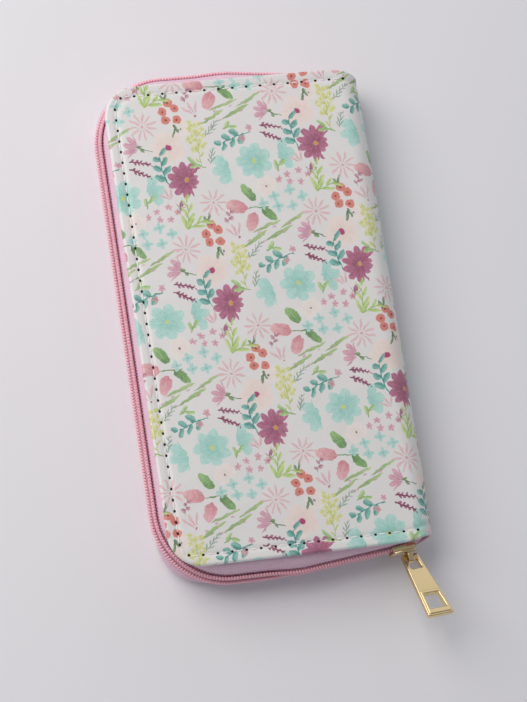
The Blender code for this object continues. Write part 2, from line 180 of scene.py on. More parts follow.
def makeSprigGroup():
    # a stem with leaves on both sides, growing along +X
    tree, n, given, out = newGroup(
        "motifSprig",
        {
            "Under": "Color", "Spot": "Vector", "Along": "Vector", "Aside": "Vector", "Tone": 0.5,
            "Length": 8.0, "Pitch": 3.0, "Leaf": 4.0, "Half width": 0.8, "Angle": 0.7, "Bend": 0.0,
            "Taper": 0.4, "Tail": 3.0, "Dark": "Color", "Light": "Color", "Stem": "Color",
            "Stem width": 0.22, "Strength": 0.92,
        },
        {"Colour": "Color"},
    )

    x, y = (n("VectorMath.DOT_PRODUCT", given["Spot"], given[way]) for way in ("Along", "Aside"))
    y = n("Math.SUBTRACT", y, n("Math.MULTIPLY", given["Bend"], n("Math.MULTIPLY", x, x)))
    across = n("Math.ABSOLUTE", y)
    shift = n("Math.MULTIPLY", n("Math.SIGN", y), n("Math.MULTIPLY", given["Pitch"], 0.25))
    xs = n("Math.ADD", x, shift)
    rise, run = n("Math.SINE", given["Angle"]), n("Math.COSINE", given["Angle"])
    v = n("Math.SUBTRACT", n("Math.MULTIPLY", across, run), n("Math.MULTIPLY", xs, rise))
    reach = n("Math.MULTIPLY", n("Math.MULTIPLY", given["Pitch"], 0.5), rise)
    w = n("Math.WRAP", v, reach, n("Math.MULTIPLY", reach, -1.0))
    foot = n("Math.DIVIDE", n("Math.SUBTRACT", w, v), rise)
    u = n("Math.DIVIDE", n("Math.SUBTRACT", across, n("Math.MULTIPLY", w, run)), rise)
    gone = n("Math.MULTIPLY", n("Math.DIVIDE", foot, given["Length"]), given["Taper"])
    size = n("Math.SUBTRACT", 1.0, gone)
    t = n("Math.DIVIDE", u, n("Math.MULTIPLY", size, given["Leaf"]))
    arc = n("Math.SQRT", n("Math.MULTIPLY", t, n("Math.SUBTRACT", 1.0, t)))
    width = n("Math.MULTIPLY", n("Math.MULTIPLY", arc, size), n("Math.MULTIPLY", given["Half width"], 2.0))
    leaf = n("Math.MULTIPLY_ADD", n("Math.SUBTRACT", width, n("Math.ABSOLUTE", w)), 4.3, -0.13)
    leaf = n("Math.MINIMUM", leaf, 1.0)
    after = n("Math.GREATER_THAN", foot, -0.05)
    before = n("Math.LESS_THAN", foot, given["Length"])
    onStem = n("Math.MULTIPLY", n("Math.MULTIPLY", after, before), given["Strength"])
    thin = n("Math.MULTIPLY_ADD", n("Math.SUBTRACT", given["Stem width"], across), 5.9, 0.3)
    within = n(
        "Math.MULTIPLY",
        n("Math.GREATER_THAN", n("Math.ADD", x, given["Tail"]), 0.0),
        n("Math.LESS_THAN", x, given["Length"]),
    )
    laid = n("MixRGB", n("Math.MULTIPLY", thin, within), given["Under"], given["Stem"])
    rib = n("Math.MULTIPLY", n("Math.SINE", n("Math.MULTIPLY", w, 3.0)), 0.35)
    shade = n("Math.ADD", n("Math.MULTIPLY_ADD", t, 0.55, rib), n("Math.SUBTRACT", given["Tone"], 0.25))
    colour = n("MixRGB", shade, given["Dark"], given["Light"])
    laid = n("MixRGB", n("Math.MULTIPLY", leaf, onStem), laid, colour)
    tree.links.new(laid.outputs[0], out["Colour"])
    return tree


# the motifs' sizes are in mm and their own angles in radians; at (mm) and turn (degrees) place one in its
# spray. A heart or a dot is (radius, colour)
noDot = (0.0, "#FFFFFF")


def petals(at, turn, count, length, halfWidth, inner, outer, heart=noDot, dot=noDot, **more):
    sizes = {"Count": count, "Length": length, "Half width": halfWidth, "Inner": inner, "Outer": outer}
    sizes |= {"Heart": heart[0], "Heart colour": heart[1], "Dot": dot[0], "Dot colour": dot[1]}
    return "petals", at, turn, sizes | {key.capitalize(): value for key, value in more.items()}


def scatter(at, turn, cell, reach, loose, *petalSizes, **more):
    sizes = petals(at, turn, *petalSizes, **more)[3]
    return "scatter", at, turn, {"Cell": cell, "Reach": reach, "Loose": loose, **sizes}


def sprig(at, turn, length, pitch, leaf, halfWidth, angle, dark, light, stem, stemWidth=0.22, **more):
    sizes = {"Length": length, "Pitch": pitch, "Leaf": leaf, "Half width": halfWidth, "Angle": angle}
    sizes |= {"Dark": dark, "Light": light, "Stem": stem, "Stem width": stemWidth}
    return "sprig", at, turn, sizes | {key.capitalize(): value for key, value in more.items()}


# the print is a made-up scatter of common garden flowers. Each spray: where it lies on the repeat (mm),
# which way it is turned (degrees), and its motifs
clothSprays = [
    ((16.5, 47.5), 0, [  # pale little blossoms, under the rest
        petals((0, 0), 0, 6, 4.3, 2.3, "#F1E2DC", "#F6EDE8", dot=(0.55, "#6B4A48"), strength=0.8),
        petals((29.3, -19.9), 20, 5, 3.6, 2.4, "#F1E2DC", "#F6EDE8", dot=(0.55, "#6B4A48"), strength=0.8),
    ]),
    ((38.7, 21.6), 30, [  # blush blossom
        petals((0, 0), 0, 5, 6.8, 4.0, "#EFDBD3", "#F5E7E1", heart=(1.35, "#B84E7C"), strength=0.92),
    ]),
    ((12.5, 29), 4, [  # grass, each blade on its own
        petals((-14, -1.5), 14, 1, 13, 0.85, "#7FA75A", "#B4CF8B", spread=0.7, start=0.0, fullness=1.3),
        petals((-7.5, 2.8), 4, 1, 13, 0.8, "#86AC60", "#B9D292", spread=0.7, start=0.0, fullness=1.1),
        petals((-4.5, -2.2), 10, 1, 13.5, 0.9, "#7BA356", "#AECB84", spread=0.7, start=0.0, fullness=1.2),
        petals((3.0, 0.6), 12, 1, 13, 0.8, "#83A95D", "#B7D08F", spread=0.7, start=0.0, fullness=1.3),
        scatter(
            (-3, -0.4), 8, 4.6, (10, 3.2), 0.9, 1, 1.7, 0.5, "#C58FA5", "#E0B6C4", spread=0.8,
            start=-0.2,
        ),
    ]),
    ((15.3, 7.2), 14, [  # mint blossoms, one open and two seen from the side
        petals((0, 0), 0, 7, 7.4, 2.5, "#8FD0C4", "#C0E8E0", heart=(1.1, "#D2DE8C"), strength=0.9),
        petals((-9.3, 2.6), 168, 8, 7.8, 2.3, "#97D5C9", "#C0E8E0", spread=1.3, strength=0.9),
        petals((9.1, -2.8), -16, 7, 7.4, 2.4, "#93D2C7", "#BCE6DD", spread=1.2, strength=0.9),
    ]),
    ((41.4, 7.2), -20, [  # plum daisy and its bud
        petals(
            (0, 0), 172, 11, 7.6, 1.7, "#8A3058", "#C0698F", heart=(1.0, "#D9A05C"), spread=2.2,
            fullness=1.7,
        ),
        petals((0, 0), -8, 11, 4.8, 1.3, "#933A60", "#C47397", heart=(1.0, "#D9A05C"), spread=1.2),
        petals((-2.4, -12.2), 80, 6, 4.2, 1.0, "#8E3A62", "#BE7096", spread=0.8, start=0.0),
        sprig((-2.4, -12.0), -100, 1.8, 2.6, 1.8, 0.5, 0.8, "#5C7A52", "#8DA77B", "#5C7A52", tail=0.0),
    ]),
    ((7.2, 42), -25, [  # two tulips and their leaves
        petals((-0.5, -1.2), 178, 3, 8.6, 2.8, "#D37F8C", "#F0BCC0", spread=1.0, start=-0.3, fullness=1.0),
        petals((2.6, -2.4), -98, 3, 8.0, 2.7, "#D37F8C", "#EEB6BC", spread=1.0, start=-0.3, fullness=1.0),
        petals((2.4, 2.6), 140, 3, 8.2, 2.1, "#4F8A40", "#9AC679", start=-0.4, spread=1.0, fullness=1.0),
        petals((5.0, 0.0), -32, 3, 7.6, 1.9, "#3F7A38", "#86B768", start=-0.4, spread=1.0, fullness=1.0),
        sprig((1.5, -0.6), 12, 6.5, 30.0, 0.5, 0.1, 0.7, "#6E9A58", "#6E9A58", "#6E9A58", tail=2.0),
    ]),
    ((50.4, 20.7), 82, [  # mimosa
        scatter(
            (2, 0), 0, 2.0, (7.4, 3.4), 0.9, 5, 1.35, 0.5, "#CDC955", "#E4E792", start=-0.2,
            strength=0.95,
        ),
        sprig((-7.5, 0), 0, 12, 4.4, 3.0, 0.6, 0.7, "#B4C86C", "#DAE5A0", "#BFCD74", stemWidth=0.15),
        sprig((-9.4, 1.2), 64, 2.4, 3.4, 4.6, 1.1, 0.42, "#8DBC6A", "#BFDC9A", "#8FB16A"),
    ]),
    ((44.1, 34.6), 20, [  # coral berries
        scatter(
            (0, 0), 0, 3.9, (5.4, 4.4), 0.7, 5, 0.1, 0.0, "#E08277", "#E08277",
            heart=(1.95, "#E08C7F"), dot=(0.6, "#A0454A"),
        ),
        sprig((1.5, 5.0), 60, 1.6, 3.0, 4.0, 0.85, 0.35, "#56745B", "#8FAE8C", "#56745B", tail=0.5),
        sprig((-2.0, -5.0), -118, 1.6, 3.0, 4.0, 0.85, 0.35, "#4F7A55", "#87AA80", "#56745B", tail=0.5),
    ]),
    ((13.8, 18.8), 0, [  # teal twigs
        sprig(
            (0, 0), 184, 8.2, 3.9, 4.6, 1.4, 0.9, "#3F968C", "#8CCABD", "#4E9C92", bend=0.015,
            taper=0.25, tail=4.0,
        ),
        sprig(
            (19.8, -8.3), 95, 8.6, 3.9, 4.6, 1.4, 0.9, "#3C9089", "#84C6BA", "#4E9C92", bend=-0.02,
            taper=0.2, tail=3.6,
        ),
    ]),
    ((25.2, 17.1), -30, [  # lavender
        sprig(
            (-3.0, 1.6), 10, 7.0, 1.7, 1.7, 0.62, 0.75, "#8D3F63", "#B9789A", "#8A4A63",
            stemWidth=0.3, bend=-0.01, taper=0.3, tail=1.2,
        ),
        sprig(
            (-2.0, -1.6), -4, 7.0, 1.7, 1.8, 0.64, 0.75, "#8A3A5C", "#AE668A", "#8A4A63",
            stemWidth=0.32, bend=-0.012, taper=0.35, tail=1.6,
        ),
    ]),
    ((36.6, 41), 35, [  # lime fern
        sprig(
            (-1.0, 0.5), 28, 9.0, 4.2, 6.0, 0.9, 0.5, "#A4C862", "#D5E8A2", "#A9C66C", bend=0.02,
            taper=0.35, tail=1.0,
        ),
        sprig(
            (-1.0, -0.5), -18, 8.0, 4.2, 5.6, 0.85, 0.5, "#A0C55E", "#D0E59B", "#A9C66C",
            bend=-0.015, taper=0.35, tail=1.0,
        ),
    ]),
    ((28.5, 48.3), 0, [  # tiny pink stars
        scatter(
            (0, 0), 0, 3.7, (6.6, 3.5), 0.75, 5, 1.5, 0.62, "#D28E9E", "#E3AFBA",
            dot=(0.35, "#B96F80"), start=-0.1,
        ),
        scatter(
            (-11.6, -28.4), 40, 3.4, (4.4, 2.4), 0.3, 5, 1.5, 0.65, "#D28E9E", "#E3AFBA",
            dot=(0.35, "#B96F80"), start=-0.1,
        ),
    ]),
    ((31.9, 32.4), 0, [  # pink sparklers, open and from the side
        petals((0, 0), 6, 11, 6.0, 0.62, "#E3B3BB", "#EBC6C8", dot=(0.7, "#DFA9B0")),
        petals((16.4, 14.6), 20, 10, 5.7, 0.62, "#E3B3BB", "#EBC6C8", dot=(0.7, "#DFA9B0")),
        petals((1.1, -31.4), 105, 12, 5.6, 0.66, "#DDA3AE", "#ECC8CB", spread=0.66),
        petals((21.3, -1.4), 100, 12, 6.4, 0.7, "#DDA3AE", "#ECC8CB", dot=(0.6, "#B9707F"), spread=0.66),
    ]),
    ((0.6, 22.2), 0, [  # rosemary
        sprig(
            (0, 0), 36, 8.2, 2.1, 3.0, 0.42, 0.55, "#82A08E", "#AFC6B4", "#7D9B88", stemWidth=0.16,
            taper=0.3, tail=0.0,
        ),
        sprig(
            (-1.8, -11.2), 66, 6.0, 2.1, 3.0, 0.45, 0.55, "#82A08E", "#AFC6B4", "#7D9B88",
            stemWidth=0.16, taper=0.3, tail=0.0,
        ),
    ]),
    ((23.6, 1.8), 0, [  # young leaves and buds, here and there
        sprig((0, 0), 62, 1.6, 3.2, 4.0, 1.1, 0.5, "#8DBC6A", "#BFDC9A", "#8FB16A", tail=1.5),
        sprig((-14.4, 21.2), 12, 1.6, 3.2, 4.0, 1.0, 0.5, "#8DBC6A", "#C4DFA0", "#8FB16A", tail=1.5),
        sprig(
            (27.9, 36.7), 60, 5.0, 2.6, 2.2, 0.85, 0.9, "#A8647F", "#DDB0B9", "#B87A92",
            stemWidth=0.12, taper=0.1, tail=1.5,
        ),
    ]),
    ((21.5, 41), -6, [  # little mint flowers
        scatter(
            (0, 0), 0, 5.0, (10.5, 5.0), 0.75, 4, 2.4, 0.95, "#93D2CA", "#BDE6DF",
            dot=(0.45, "#7FC0B4"), start=-0.2,
        ),
    ]),
    ((27.9, 24.3), 20, [  # pink carnation
        petals((0, 0), 128, 12, 6.6, 1.2, "#C7809B", "#E6B2C3", spread=0.95, start=0.5, fullness=1.8),
        sprig(
            (-0.4, 0.4), -50, 1.5, 3.2, 2.4, 0.8, 0.55, "#5F8A54", "#8DB076", "#5F7F57", tail=0.0,
            bend=0.02,
        ),
        sprig(
            (0, 0), -50, 5.0, 30.0, 0.5, 0.1, 0.6, "#5F7F57", "#5F7F57", "#5F7F57", stemWidth=0.18,
            tail=0.0,
        ),
    ]),
]


def printColour(n, base):
    # lays every motif over the plain cloth and gives the colour back
    place, strew, petalShape = makePlaceGroup(), makeScatterGroup(), makePetalGroup()
    shapes = {"petals": petalShape, "scatter": petalShape, "sprig": makeSprigGroup()}
    cloth = n("Attribute", attribute_name="spread").outputs["Vector"]
    stray = n("TexNoise", named={"Vector": cloth, "Scale": 0.42, "Detail": 2.0})
    moved = n("VectorMath.SUBTRACT", stray.outputs["Color"], (0.5, 0.5, 0.5))
    moved = n("VectorMath.SCALE", moved, named={"Scale": printing["wobble"] * 3})
    cloth = n("VectorMath.ADD", cloth, moved)
    turn = {"Angle": radians(printing["turn"])}
    turned = n("VectorRotate", cloth, rotation_type="Z_AXIS", named=turn)
    wash = n("TexNoise", named={"Vector": turned, "Scale": 0.55, "Detail": 3.0, "Roughness": 0.65})
    tone = n("MapRange", wash.outputs["Fac"], 0.3, 0.7, 0.15, 0.85)
    colour = base
    for centre, sprayTurn, motifs in clothSprays:
        for shape, at, turn, sizes in motifs:
            way = radians(turn + sprayTurn)
            along, aside = Vector((cos(way), sin(way), 0)), Vector((-sin(way), cos(way), 0))
            middle = Vector((*centre, 0)) + Matrix.Rotation(radians(sprayTurn), 3, "Z") @ Vector((*at, 0))
            spot = n("Group", node_tree=place, named={"Cloth": turned, "Centre": middle}).outputs[0]
            given = {"Under": colour, "Spot": spot, "Along": along, "Aside": aside, "Tone": tone, **sizes}
            if shape == "scatter":
                patch = {key: given.pop(key) for key in ("Cell", "Reach", "Loose")}
                reach, girth = patch["Reach"]
                patch |= {"Spot": spot, "Reach": along / reach, "Girth": aside / girth}
                strewn = n("Group", node_tree=strew, named=patch)
                given |= {"Spot": strewn.outputs["Spot"], "Cover": strewn.outputs["Cover"]}
            colour = n("Group", node_tree=shapes[shape], named=given).outputs[0]
    return colour


# finishes
def makePrintedSkin():
    # polyurethane-coated fabric, embossed and printed: smooth, half gloss, with a faint grain
    made, tree, shader, n = newMaterial("printedCoatedFabric")
    position = n("TexCoord").outputs["Object"]
    cloud = n("TexNoise", named={"Vector": position, "Scale": 60.0, "Detail": 2.0})
    ground = n("MixRGB", cloud, "#E6E5E4", "#EEEDEC")
    tree.links.new(printColour(n, ground), shader.inputs["Base Color"])
    grain = n("TexVoronoi", named={"Vector": position, "Scale": 1 / 0.0007})  # pebbles of 0.7 mm
    soft = n("TexNoise", named={"Vector": position, "Scale": 90.0, "Detail": 3.0})
    fine = n("Bump", named={"Strength": 0.12, "Distance": 0.00006, "Height": grain.outputs["Distance"]})
    heave = {"Strength": 0.35, "Distance": 0.0008, "Height": soft.outputs["Fac"], "Normal": fine}
    rolling = n("Bump", named=heave)
    tree.links.new(rolling.outputs[0], shader.inputs["Normal"])
    rough = n("MapRange", soft.outputs["Fac"], 0.3, 0.7, 0.34, 0.46)
    tree.links.new(rough.outputs[0], shader.inputs["Roughness"])
    shader.inputs["IOR"].default_value = 1.5
    shader.inputs["Coat Weight"].default_value = 0.15
    shader.inputs["Coat Roughness"].default_value = 0.3
    return made


def makeWoven(name, dark, light, thread, rough=0.85, sheen=0.25):
    # woven polyester: matt threads that catch a soft sheen; thread is the spacing in metres
    made, tree, shader, n = newMaterial(name)
    position = n("TexCoord").outputs["Object"]
    size = {"Vector": position, "Scale": 0.314 / thread, "Distortion": 0.4, "Detail": 1.0}
    rows = [n("TexWave", wave_type="BANDS", bands_direction=way, named=size) for way in ("X", "Y", "Z")]
    weave = n("Math.ADD", n("Math.MULTIPLY", rows[0], rows[1]), rows[2])
    patch = n("TexNoise", named={"Vector": position, "Scale": 400.0, "Detail": 3.0})
    mix = n("Math.MULTIPLY_ADD", weave, 0.3, n("Math.MULTIPLY", patch, 0.6), use_clamp=True)
    tree.links.new(n("MixRGB", mix, dark, light).outputs[0], shader.inputs["Base Color"])
    bump = n("Bump", named={"Strength": 0.5, "Distance": thread * 0.3, "Height": weave})
    tree.links.new(bump.outputs[0], shader.inputs["Normal"])
    shader.inputs["Roughness"].default_value = rough
    shader.inputs["Sheen Weight"].default_value = sheen
    return made


def makePlain(name, dark, light, rough, grain, depth, metallic=0.0, sheen=0.0):
    # a finish whose colour and roughness drift a little, over a grain of the given size in metres
    made, tree, shader, n = newMaterial(name)
    position = n("TexCoord").outputs["Object"]
    patch = n("TexNoise", named={"Vector": position, "Scale": 0.35 / grain, "Detail": 3.0})
    tree.links.new(n("MixRGB", patch, dark, light).outputs[0], shader.inputs["Base Color"])
    span = n("MapRange", patch.outputs["Fac"], 0.3, 0.7, rough - 0.05, rough + 0.06)
    tree.links.new(span.outputs[0], shader.inputs["Roughness"])
    pits = n("TexNoise", named={"Vector": position, "Scale": 1 / grain, "Detail": 2.0})
    bump = n("Bump", named={"Strength": 0.3, "Distance": depth, "Height": pits.outputs["Fac"]})
    tree.links.new(bump.outputs[0], shader.inputs["Normal"])
    shader.inputs["Metallic"].default_value = metallic
    shader.inputs["Sheen Weight"].default_value = sheen
    return made


finishes = {
    "skin": makePrintedSkin(),
    "tape": makeWoven("pinkWovenTape", "#E3B4CC", "#F6D8E8", 0.0006),  # ribs of 0.6 mm across a zip tape
    "coil": makePlain("pinkNylonCoil", "#F2A7BA", "#FBD0DA", 0.42, 0.0006, 0.00002),  # moulded nylon, waxy
    "coilThread": makePlain("wineSewingThread", "#8A3F57", "#A8586F", 0.75, 0.0003, 0.00003),
    "thread": makePlain("whiteSewingThread", "#E9E6E6", "#FAF8F8", 0.7, 0.0004, 0.00003, sheen=0.2),
    # painted shade: each needle hole is a near-black dot that stands in for the shade inside the hole
    "holeShade": makePlain("needleHoleShade", "#1B1514", "#2B2221", 0.9, 0.0004, 0.00002),
    # electroplated pale gold on cast zinc: mirror-like, with the faint waves of polished casting
    "gold": makePlain("paleGoldPlate", "#E2C794", "#EED9AC", 0.15, 0.0012, 0.00001, metallic=1.0),
    "lining": makeWoven("pinkPolyesterLining", "#C9788F", "#E29AAE", 0.0005, rough=0.6),
    "pocket": makePlain("pinkCoatedPocket", "#E091A6", "#EDABBB", 0.5, 0.0008, 0.00003),
    "board": makePlain("greyBoard", "#A79C8C", "#BDB3A2", 0.9, 0.0008, 0.00004),
}
print("finishes made,", sum(len(spray[2]) for spray in clothSprays), "motifs in the print")


# making pieces
def finishMesh(name, bm, finish, smooth=True):
    mesh = bpy.data.meshes.new(name)
    bm.to_mesh(mesh)
    bm.free()
    mesh.materials.append(finish)
    for face in mesh.polygons:
        face.use_smooth = smooth
    made = bpy.data.objects.new(name, mesh)
    scene.collection.objects.link(made)
    return made


def bakeModifiers(made):
    # the evaluated mesh takes the place of the mesh and its modifiers
    name = made.name
    solid = bpy.data.meshes.new_from_object(made.evaluated_get(bpy.context.evaluated_depsgraph_get()))
    made.modifiers.clear()
    made.data = solid
    solid.name = name
    return made


def hang(made, body, nodes=()):
    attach(made, body)
    if nodes:
        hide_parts(*nodes)
    return made


def smoothStep(t):
    t = min(max(t, 0.0), 1.0)
    return t * t * (3 - 2 * t)


def steps(first, last, size):
    count = max(1, round(abs(last - first) / size))
    return [first + (last - first) * i / count for i in range(count + 1)]


wallet = {  # metres
    "halfLength": 0.095,
    "halfWidth": 0.0515,
    "thickness": 0.0216,
    "cornerRadius": 0.013,
    "foldX": 0.0433,
    "spineRadius": 0.0082,
}
middleZ = wallet["thickness"] / 2
covers = (("back", False), ("front", True))


def mirrored(z, front):
    return wallet["thickness"] - z if front else z


# the outer skin, one half of it: a cover and half of the spine
skinShape = {
    "hemThickness": 0.0020,  # turned over at the edge
    "thickness": 0.0012,
    "edgeRadius": 0.0010,
    "stitchInset": 0.0042,
    "stitchDip": 0.00034,
    "stitchWidth": 0.0010,
    "crown": 0.00035,
    "crownFrom": 0.0055,  # measured in from the edge, as the next three are
    "crownOver": 0.016,
    "hemFrom": 0.0012,
    "hemOver": 0.0026,
    "liningFrom": 0.040,  # past here the inner face is lining, which shows when the wallet opens
    "drawnIn": 0.0026,  # how much shorter the spine is at each end than the covers
    "drawnInFrom": 0.038,  # from the wallet's middle, across the cover
    "drawnInOver": 0.017,
    "flat": (0.1103, 0.190),
}


def coverHalfLength(s):
    drawn = smoothStep((s - skinShape["drawnInFrom"]) / skinShape["drawnInOver"])
    return wallet["halfLength"] - skinShape["drawnIn"] * drawn


def edgeDistance(s, y):
    radius = wallet["cornerRadius"]
    cornerX, cornerY = -wallet["halfWidth"] + radius, wallet["halfLength"] - radius
    if s < cornerX and abs(y) > cornerY:
        return max(0.0, radius - hypot(cornerX - s, abs(y) - cornerY))
    return max(0.0, min(s + wallet["halfWidth"], coverHalfLength(s) - abs(y)))


def edgeRoll(d):
    roll = skinShape["edgeRadius"]
    return roll * (1 - sqrt(max(0.0, 1 - max(0.0, 1 - d / roll) ** 2)))


def skinDrop(d, front):
    # how far the outer face lies below the cover's plane at d from the edge; the back one lies flat
    shape = skinShape
    dip = shape["stitchDip"] * exp(-(((d - shape["stitchInset"]) / shape["stitchWidth"]) ** 2))
    crown = shape["crown"] * smoothStep((d - shape["crownFrom"]) / shape["crownOver"])
    return edgeRoll(d) + dip - (crown if front else 0.0)


def skinThickness(d):
    shape = skinShape
    hem = 1 - smoothStep((d - shape["hemFrom"]) / shape["hemOver"])
    thick = shape["thickness"] + (shape["hemThickness"] - shape["thickness"]) * hem
    return max(0.0, thick - 2 * edgeRoll(d))


def skinPoint(s, drop, front):
    # s runs across the cover and on round the spine; drop is inwards from the outer face
    fold, radius = wallet["foldX"], wallet["spineRadius"]
    turn = (s - fold) / radius
    if turn <= 0:
        return s, mirrored(drop, front)
    if turn >= pi / 2:
        return wallet["halfWidth"] - drop, mirrored(radius + (turn - pi / 2) * radius, front)
    return fold + (radius - drop) * sin(turn), mirrored(radius - (radius - drop) * cos(turn), front)


def skinHalf(name, front):
    # rows of points in from the edge, in mm, closest at the roll and the seam
    rim = [0, 0.04, 0.12, 0.25, 0.4, 0.6, 0.85, 1.1, 1.45, 1.9, 2.4, 2.8, 3.1, 3.4, 3.65, 3.9, 4.2]
    rim += [4.5, 4.75, 5.0, 5.3, 5.7, 6.3, 7.1, 8.1, 9.4, 11, 13]
    rim = [r * 0.001 for r in rim]
    fold, radius = wallet["foldX"], wallet["spineRadius"]
    spineMiddle = fold + radius * pi / 2 + middleZ - radius
    across = [-wallet["halfWidth"] + r for r in rim] + steps(-wallet["halfWidth"] + rim[-1], fold, 0.0018)[1:]
    across += steps(fold, spineMiddle, 0.0008)[1:]
    bm = bmesh.new()
    spread = bm.verts.layers.float_vector.new("spread")
    outside, inside = [], []
    for s in across:
        half = coverHalfLength(s) - wallet["cornerRadius"]
        run = wallet["cornerRadius"] - (s + wallet["halfWidth"])
        half += sqrt(max(0.0, wallet["cornerRadius"] ** 2 - max(0.0, run) ** 2))
        ends = [half - r for r in rim]
        column = [-y for y in ends] + [ends[-1] * (i / 46 - 1) for i in range(1, 92)] + ends[::-1]
        cloth = 1000 * (s if front else 2 * spineMiddle - s)
        for layer, wall in ((outside, False), (inside, True)):
            made = []
            for y in column:
                d = edgeDistance(s, y)
                drop = skinDrop(d, front) + (skinThickness(d) if wall else 0.0)
                x, z = skinPoint(s, drop, front)
                vert = bm.verts.new((x, y, z))
                vert[spread] = (cloth, y * 1000, 0)
                made.append(vert)
            layer.append(made)
    for layer, wall in ((outside, False), (inside, True)):
        for here, there in zip(layer, layer[1:]):
            for i in range(len(here) - 1):
                corners = (here[i], there[i], there[i + 1], here[i + 1])
                face = bm.faces.new(corners if front != wall else corners[::-1])
                face.material_index = int(wall and here[i].co.x > skinShape["liningFrom"])
    last, inner = outside[-1], inside[-1]
    for i in range(len(last) - 1):
        corners = (last[i], inner[i], inner[i + 1], last[i + 1])
        bm.faces.new(corners if front else corners[::-1])
    bmesh.ops.remove_doubles(bm, verts=bm.verts, dist=1e-6)
    made = finishMesh(name, bm, finishes["skin"])
    made.data.materials.append(finishes["lining"])
    return made


for name, front in covers:
    skin = skinHalf(name + "Skin", front)
    if front:
        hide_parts("front_cover", "spine_cover")
        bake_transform(skin)
    else:
        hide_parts("back_cover")
        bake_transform(skin)
print("skins made")


# what repeats along a line: coil loops, stitches, and the dark dots of painted shade in the needle holes
def makeBeadTree():
    tree, n, given, out = newGroup(
        "beadsAlongLine",
        {
            "Geometry": "Geometry", "Count": "Int", "Size": "Vector", "Rings": "Int", "Slant": "Float",
            "Finish": "Material",
        },
        {"Geometry": "Geometry"},
        kind="GeometryNodeTree",
    )
    line = n("GeometryNodeMeshToCurve", given["Geometry"])
    facing = n("GeometryNodeInputNamedAttribute", data_type="FLOAT_VECTOR", named={"Name": "facing"})
    points = n("GeometryNodeCurveToPoints", mode="COUNT", named={"Curve": line, "Count": given["Count"]})
    align = "FunctionNodeAlignRotationToVector"
    along = n(align, axis="X", named={"Vector": points.outputs["Tangent"]})
    turned = n(align, axis="Z", pivot_axis="X", named={"Rotation": along, "Vector": facing})
    bead = n("GeometryNodeMeshUVSphere", named={"Segments": 8, "Rings": given["Rings"], "Radius": 0.5})
    slant = n("CombineXYZ", 0.0, 0.0, given["Slant"])
    shape = {"Geometry": bead.outputs["Mesh"], "Scale": given["Size"], "Rotation": slant}
    shaped = n("GeometryNodeTransform", named=shape)
    placing = {"Points": points.outputs["Points"], "Instance": shaped, "Rotation": turned}
    row = n("GeometryNodeInstanceOnPoints", named=placing)
    real = n("GeometryNodeRealizeInstances", row)
    smooth = n("GeometryNodeSetShadeSmooth", real)
    painted = n("GeometryNodeSetMaterial", named={"Geometry": smooth, "Material": given["Finish"]})
    tree.links.new(painted.outputs[0], out["Geometry"])
    return tree


beadTree = makeBeadTree()


def beads(name, lines, size, finish, rings=6, slant=0.0):
    # lines are [(points, facings, count)]; size is along the line, across it, and out of the surface
    parts = []
    for points, facings, count in lines:
        bm = bmesh.new()
        facing = bm.verts.layers.float_vector.new("facing")
        verts = [bm.verts.new(p) for p in points]
        for vert, way in zip(verts, facings):
            vert[facing] = way
        for a, b in zip(verts, verts[1:]):
            bm.edges.new((a, b))
        part = finishMesh(name, bm, finish)
        repeat = part.modifiers.new("Beads", "NODES")
        repeat.node_group = beadTree
        sockets = {s.name: s.identifier for s in beadTree.interface.items_tree if s.in_out == "INPUT"}
        values = {"Count": count, "Size": size, "Rings": rings, "Slant": slant, "Finish": finish}
        for label, value in values.items():
            repeat[sockets[label]] = value
        parts.append(bakeModifiers(part))
    bm = bmesh.new()
    for part in parts:
        bm.from_mesh(part.data)
        bpy.data.objects.remove(part, do_unlink=True)
    return finishMesh(name, bm, finish)


def lineLength(points):
    return sum((Vector(a) - Vector(b)).length for a, b in zip(points, points[1:]))


def shortened(points, facings, cut):
    # the same line with a piece cut off each end
    total, run, kept = lineLength(points), 0.0, []
    for i, (a, b) in enumerate(zip(points, points[1:])):
        piece = (Vector(b) - Vector(a)).length
        for at in (cut, total - cut):
            if run <= at <= run + piece and piece > 0:
                kept.append((at, tuple(Vector(a).lerp(Vector(b), (at - run) / piece)), facings[i]))
        if cut < run + piece < total - cut:
            kept.append((run + piece, b, facings[i + 1]))
        run += piece
    kept.sort(key=lambda item: item[0])
    return [k[1] for k in kept], [k[2] for k in kept]


# the seam round the three zipped sides of each cover
seam = {
    "inset": 0.0042,
    "cornerRadius": 0.0048,
    "pitchSide": 0.0043,
    "pitchEnds": 0.0057,
    "lastX": 0.0445,
    # size of the dark dot painted as the shade in each needle hole
    "holeShade": (0.0012, 0.0011, 0.0004),
    "thread": (0.0030, 0.00062, 0.0005),
}


def seamLines(front):
    # one line down the long side and one round each corner; each gives its points, facings and pitch
    inset, radius = seam["inset"], seam["cornerRadius"]
    x0, y0 = -wallet["halfWidth"] + inset, wallet["halfLength"] - inset
    side = [(x0, y) for y in steps(-(y0 - radius), y0 - radius, 0.004)]
    lines = [(side, seam["pitchSide"])]
    for end in (-1, 1):
        turn = [pi / 2 * i / 8 for i in range(9)]
        line = [(x0 + radius - radius * cos(t), end * (y0 - radius + radius * sin(t))) for t in turn]
        line += [(x, end * y0) for x in steps(x0 + radius, seam["lastX"], 0.003)[1:]]
        lines.append((line, seam["pitchEnds"]))
    laid = []
    for line, pitch in lines:
        points = []
        for x, y in line:
            px, pz = skinPoint(x, skinDrop(edgeDistance(x, y), front), front)
            points.append((px, y, pz))
        laid.append((points, [(0, 0, 1 if front else -1)] * len(points), pitch))
    return laid


